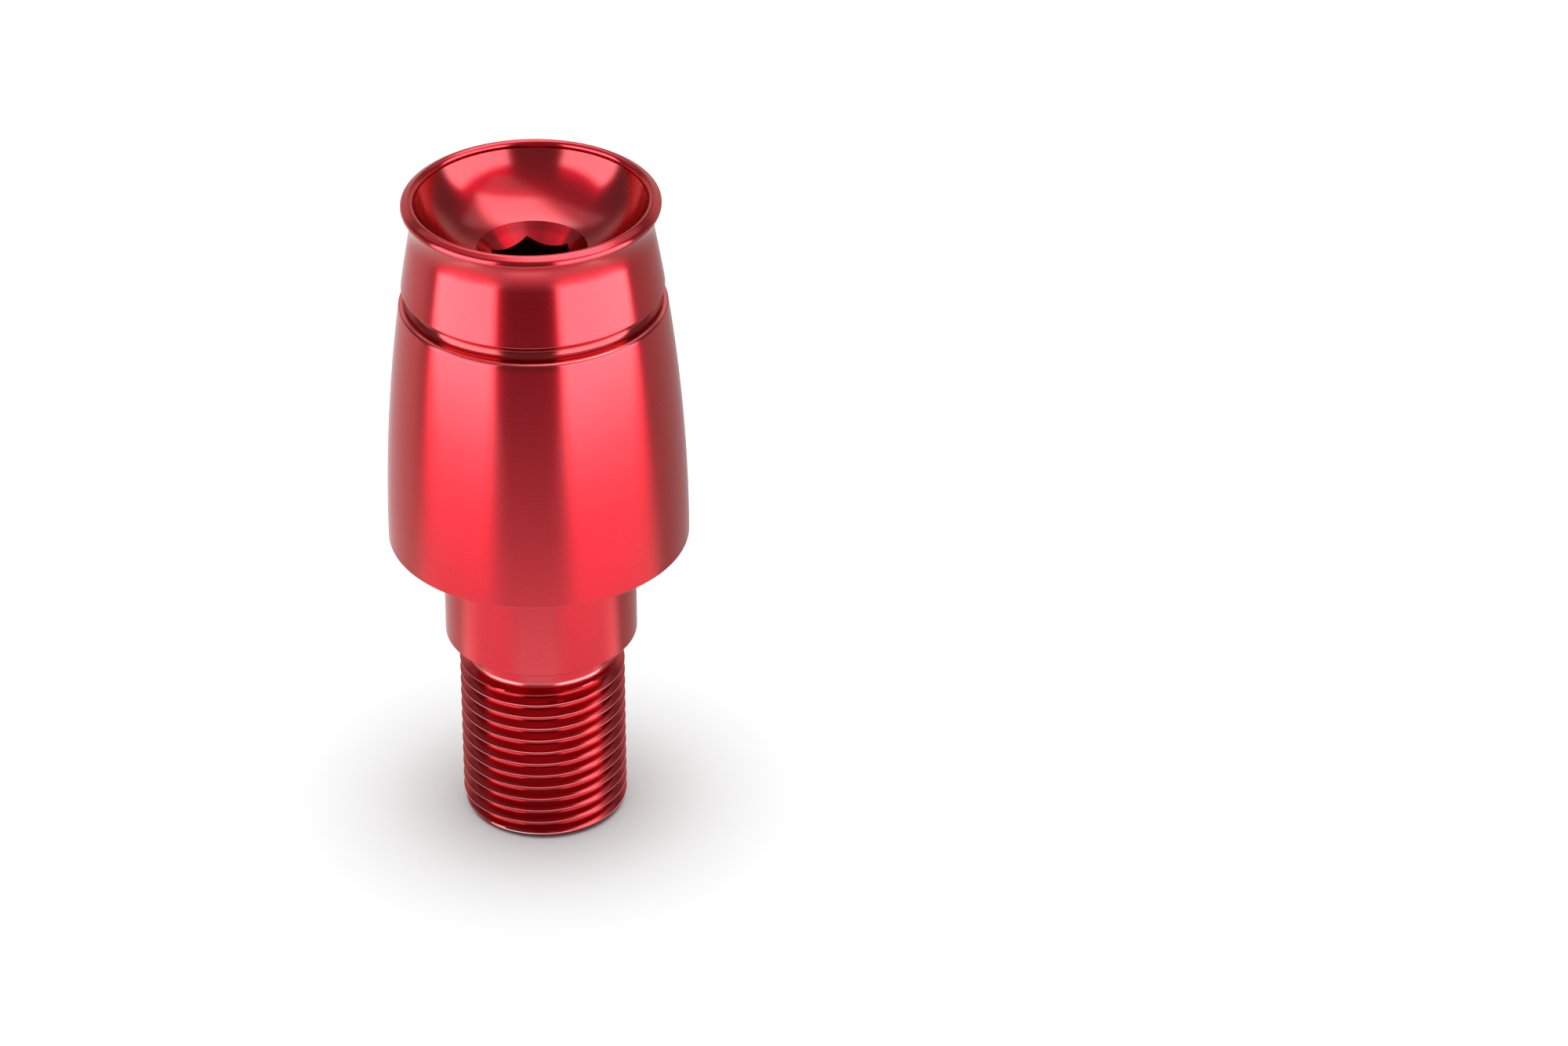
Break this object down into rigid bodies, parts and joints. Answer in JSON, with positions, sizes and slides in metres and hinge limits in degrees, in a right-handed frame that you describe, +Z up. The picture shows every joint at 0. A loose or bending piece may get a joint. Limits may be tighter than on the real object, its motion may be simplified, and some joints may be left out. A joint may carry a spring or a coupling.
{
  "type": "bar end weight",
  "caption": "Red anodised motorbike bar end weight, barrel-shaped with a groove, a flared lip round a dished hexagon socket, and a threaded shank below.",
  "frame": {"origin": "middle of the threaded tip's flat face, on which the part stands", "axes": "+Z up the turning axis, from the threaded tip to the flared lip"},
  "size_m": [0.0318, 0.0318, 0.074],
  "materials": {
    "red_anodised": "satin anodised"
  },
  "bodies": {
    "root": {"bar_end_weight": "red_anodised"}
  },
  "joints": []
}
